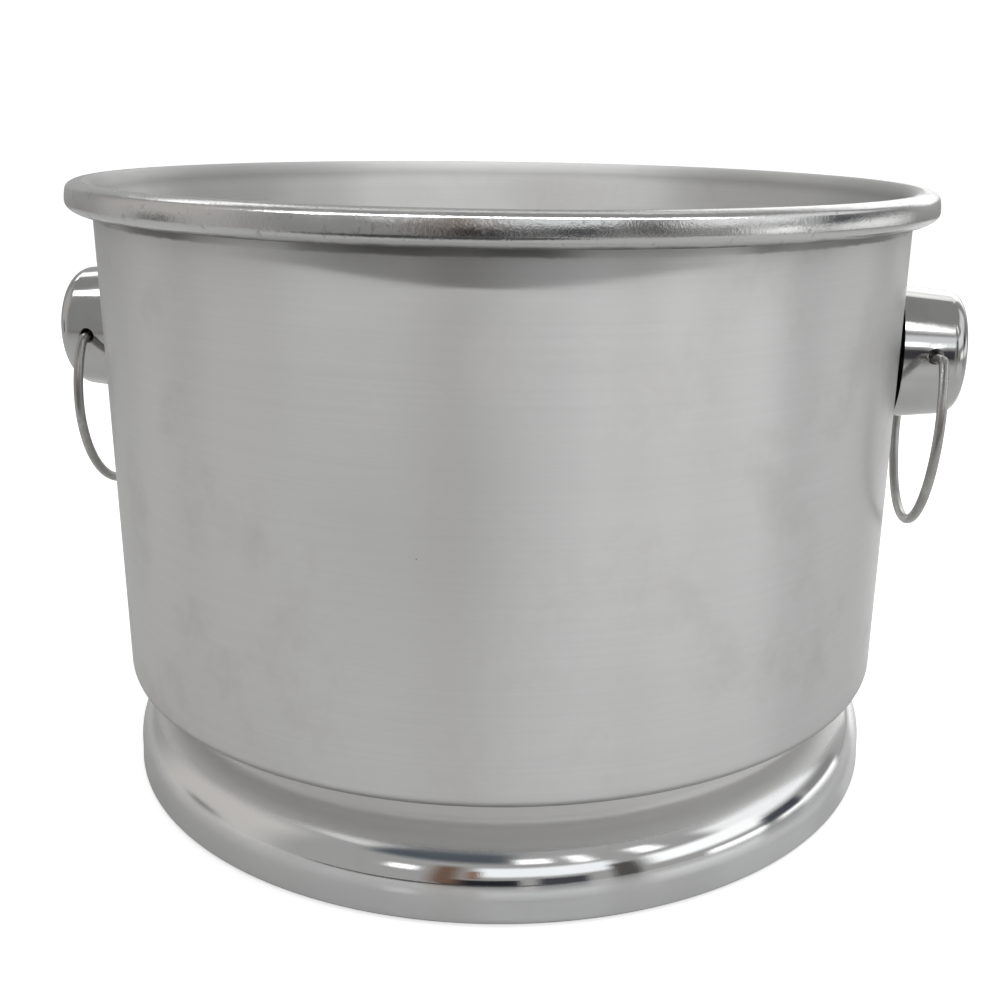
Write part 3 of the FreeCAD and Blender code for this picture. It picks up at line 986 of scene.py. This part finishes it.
# Each patch of the surroundings: azimuth and elevation of its centre, half width, half height and
# softness, all in degrees, and then its colour, which may be brighter than 1
SURROUNDINGS = [
    # lighter walls to either side
    (177.0, 15.0, 25.0, 28.0, 20.0, (0.61, 0.59, 0.57)),
    (2.0, 32.0, 22.0, 12.0, 10.0, (1.0, 1.01, 1.02)),
    # bright wall, band and window behind the bucket
    (82.0, 22.0, 46.0, 22.0, 16.0, (0.46, 0.465, 0.46)),
    (90.0, 53.0, 34.0, 8.0, 8.0, (0.95, 0.95, 0.94)),
    (62.0, 20.0, 17.5, 15.0, 8.0, (1.6, 1.6, 1.6)),
    (128.0, 40.5, 14.0, 5.0, 4.0, (2.3, 2.3, 2.3)),
    # dark upper part of the room, on the viewer's side, and lamps beside it
    (-111.0, 57.5, 26.0, 13.0, 10.0, (0.085, 0.10, 0.115)),
    (-157.0, 58.0, 15.0, 7.0, 6.0, (0.8, 0.8, 0.79)),
    (-79.0, 48.0, 6.0, 5.0, 4.0, (1.4, 1.4, 1.4)),
    # long lit window on the viewer's side
    (-77.0, 26.0, 20.0, 9.0, 6.0, (1.0, 1.02, 1.04)),
    (-119.0, 26.0, 4.0, 4.0, 5.0, (1.7, 1.7, 1.7)),
    # windows to the right
    (-63.0, 46.5, 3.0, 7.5, 6.0, (1.5, 1.5, 1.5)),
    (-41.0, 42.5, 4.0, 6.5, 6.0, (1.5, 1.5, 1.5)),
    (-27.5, 20.0, 19.5, 9.0, 7.0, (1.15, 1.16, 1.17)),
    (12.0, -0.5, 16.0, 5.0, 5.0, (1.2, 1.2, 1.2)),
    (-20.0, -0.5, 10.0, 4.5, 5.0, (1.6, 1.6, 1.6)),
    # plain dark shapes near the horizon
    (-96.0, 0.0, 11.0, 10.0, 3.0, (0.018, 0.020, 0.024)),
    (-106.0, 18.0, 4.0, 18.0, 7.0, (0.16, 0.10, 0.07)),
    (-98.0, 20.0, 2.0, 8.0, 4.0, (0.24, 0.15, 0.10)),
    (-73.0, 4.0, 7.0, 8.0, 4.0, (0.06, 0.06, 0.07)),
    (-55.0, 12.0, 4.0, 14.0, 4.0, (0.09, 0.085, 0.08)),
    (-1.5, 9.5, 8.5, 6.0, 5.0, (0.06, 0.068, 0.08)),
    (19.5, 10.0, 9.5, 4.5, 5.0, (0.26, 0.26, 0.26)),
    (176.0, -4.0, 6.0, 8.0, 5.0, (0.12, 0.13, 0.12)),
]
ROOM_LOW = (0.32, 0.315, 0.305, 1.0)
ROOM_MIDDLE = (0.36, 0.36, 0.355, 1.0)
ROOM_TOP = (0.366, 0.366, 0.366, 1.0)
LOW_TO_MIDDLE = (-3.0, 1.0)              # elevations between which the room's tone changes
MIDDLE_TO_TOP = (30.0, 80.0)


def window(nodes, azimuth, elevation, turn, lift, half_width, half_height, soft):
    """1 inside a soft-edged patch of the surroundings, 0 outside it."""
    offset = nodes.maths("SUBTRACT", azimuth, turn)
    offset = nodes.maths("WRAP", offset, 180.0, -180.0)
    aside = nodes.maths("ABSOLUTE", offset)
    across = nodes.spread(aside, half_width - soft / 2, half_width + soft / 2, 1.0, 0.0)
    rise = nodes.maths("ABSOLUTE", nodes.maths("SUBTRACT", elevation, lift))
    along = nodes.spread(rise, half_height - soft / 2, half_height + soft / 2, 1.0, 0.0)
    return nodes.times(across, along)


def surroundings():
    """Plain room: pale walls, soft windows and a few dark shapes, turned with the camera's side."""
    world = bpy.data.worlds.new("room")
    bpy.context.scene.world = world
    world.use_nodes = True
    world.node_tree.nodes.clear()
    nodes = Nodes(world.node_tree)
    direction = nodes.add("ShaderNodeTexCoord").outputs["Generated"]
    parts = nodes.add("ShaderNodeSeparateXYZ", {"Vector": direction})
    x, y, z = (parts.outputs[axis] for axis in "XYZ")
    azimuth = nodes.maths("DEGREES", nodes.maths("ARCTAN2", y, x))
    azimuth = nodes.maths("SUBTRACT", azimuth, CAMERA_TURN)
    elevation = nodes.maths("DEGREES", nodes.maths("ARCSINE", z))
    colour = nodes.mix(nodes.spread(elevation, *LOW_TO_MIDDLE), ROOM_LOW, ROOM_MIDDLE)
    colour = nodes.mix(nodes.spread(elevation, *MIDDLE_TO_TOP), colour, ROOM_TOP)
    for *patch, tone in SURROUNDINGS:
        colour = nodes.mix(window(nodes, azimuth, elevation, *patch), colour, (*tone, 1.0))
    background = nodes.add("ShaderNodeBackground", {"Color": colour, "Strength": 1.0})
    output = nodes.add("ShaderNodeOutputWorld")
    nodes.put(output.inputs["Surface"], background.outputs[0])


def lamp(name, spot, target, shape, width, height, watts):
    """Soft lamp aimed at a point."""
    light = bpy.data.lights.new(name, "AREA")
    light.shape = shape
    light.size = width
    light.size_y = height
    light.energy = watts
    holder = bpy.data.objects.new(name, light)
    holder.location = spot
    holder.rotation_mode = "QUATERNION"
    holder.rotation_quaternion = (Vector(target) - Vector(spot)).to_track_quat("-Z", "Y")
    bpy.context.scene.collection.objects.link(holder)
    return holder


def light_only(holder, piece):
    """Makes a lamp light only one piece."""
    lit = bpy.data.collections.new(holder.name + "_lights")
    lit.objects.link(piece)
    holder.light_linking.receiver_collection = lit


def lights(shell):
    """Lamp above, lamp in front for the rim's shadow, and small lamps for the handle bosses."""
    size = OVERHEAD_SIZE
    overhead = lamp("overhead", OVERHEAD_SPOT, OVERHEAD_AIM, "DISK", size, size, OVERHEAD_WATTS)
    overhead.visible_glossy = False
    spot = spot_round(STRIP_AZIMUTH, STRIP_OUT, STRIP_UP)
    strip = lamp("strip", spot, (0.0, 0.0, RIM_TOP), "RECTANGLE", STRIP_WIDTH, STRIP_HEIGHT, STRIP_WATTS)
    light_only(strip, shell)
    for name, (side, azimuth, elevation, width, height, watts) in KNOB_LAMPS.items():
        lift = math.radians(elevation)
        way = spot_round(azimuth, math.cos(lift), math.sin(lift))
        knob, _ = HINGES[f"{side}_ring"]
        knob_lamp = lamp(name, knob + way * KNOB_LAMP_AWAY, knob, "RECTANGLE", width, height, watts)
        light_only(knob_lamp, frame["nodes"][f"{side}_boss"])


def camera():
    """The photo's camera, a little round towards the right-hand handle."""
    data = bpy.data.cameras.new("camera")
    data.sensor_width = SENSOR_MM
    data.lens = FOCAL_OF_WIDTH * SENSOR_MM
    data.shift_x = SHIFT_X
    data.shift_y = SHIFT_Y
    data.clip_start = NEAREST_SEEN
    data.clip_end = FURTHEST_SEEN
    eye = bpy.data.objects.new("camera", data)
    turn = Matrix.Rotation(math.radians(CAMERA_TURN), 4, "Z")
    heading = Matrix.Rotation(math.radians(CAMERA_TURN - CAMERA_YAW), 4, "Z")
    tilt = Matrix.Rotation(math.radians(90 - CAMERA_PITCH), 4, "X")
    roll = Matrix.Rotation(math.radians(CAMERA_ROLL), 4, "Z")
    spot = turn @ Vector((0.0, -CAMERA_DISTANCE, CAMERA_HEIGHT))
    eye.matrix_world = Matrix.Translation(spot) @ heading @ tilt @ roll
    bpy.context.scene.collection.objects.link(eye)
    bpy.context.scene.camera = eye


def build():
    camera()
    surroundings()
    stage()

    shell = shell_piece()
    lights(shell)
    wear(shell, satin_material(), bead_material())
    polish_bead(shell)
    wear(foot_piece(), mirror_material())
    wire = wire_material()
    for side in ("right", "left"):
        wear(ring_piece(side), wire)

    knob = boss_material()
    stainless = fastener_material("stainless_fastener", *STAINLESS)
    rivet = fastener_material("hammered_rivet", *RIVET)
    hoop = fastener_material("hoop_wire", *HOOP)
    rubber = rubber_material()
    for side in ("right", "left"):
        wear_node(f"{side}_boss", knob)
        wear_node(f"{side}_screw", stainless)
        wear_node(f"{side}_washer", stainless)
        wear_node(f"{side}_seal", rubber)
    wear_node("foot_rivets", rivet)
    wear_node("rim_hoop", hoop)

    scene = bpy.context.scene
    scene.view_settings.view_transform = "Standard"
    scene.cycles.glossy_bounces = GLOSSY_BOUNCES
    scene.cycles.max_bounces = MOST_BOUNCES


build()
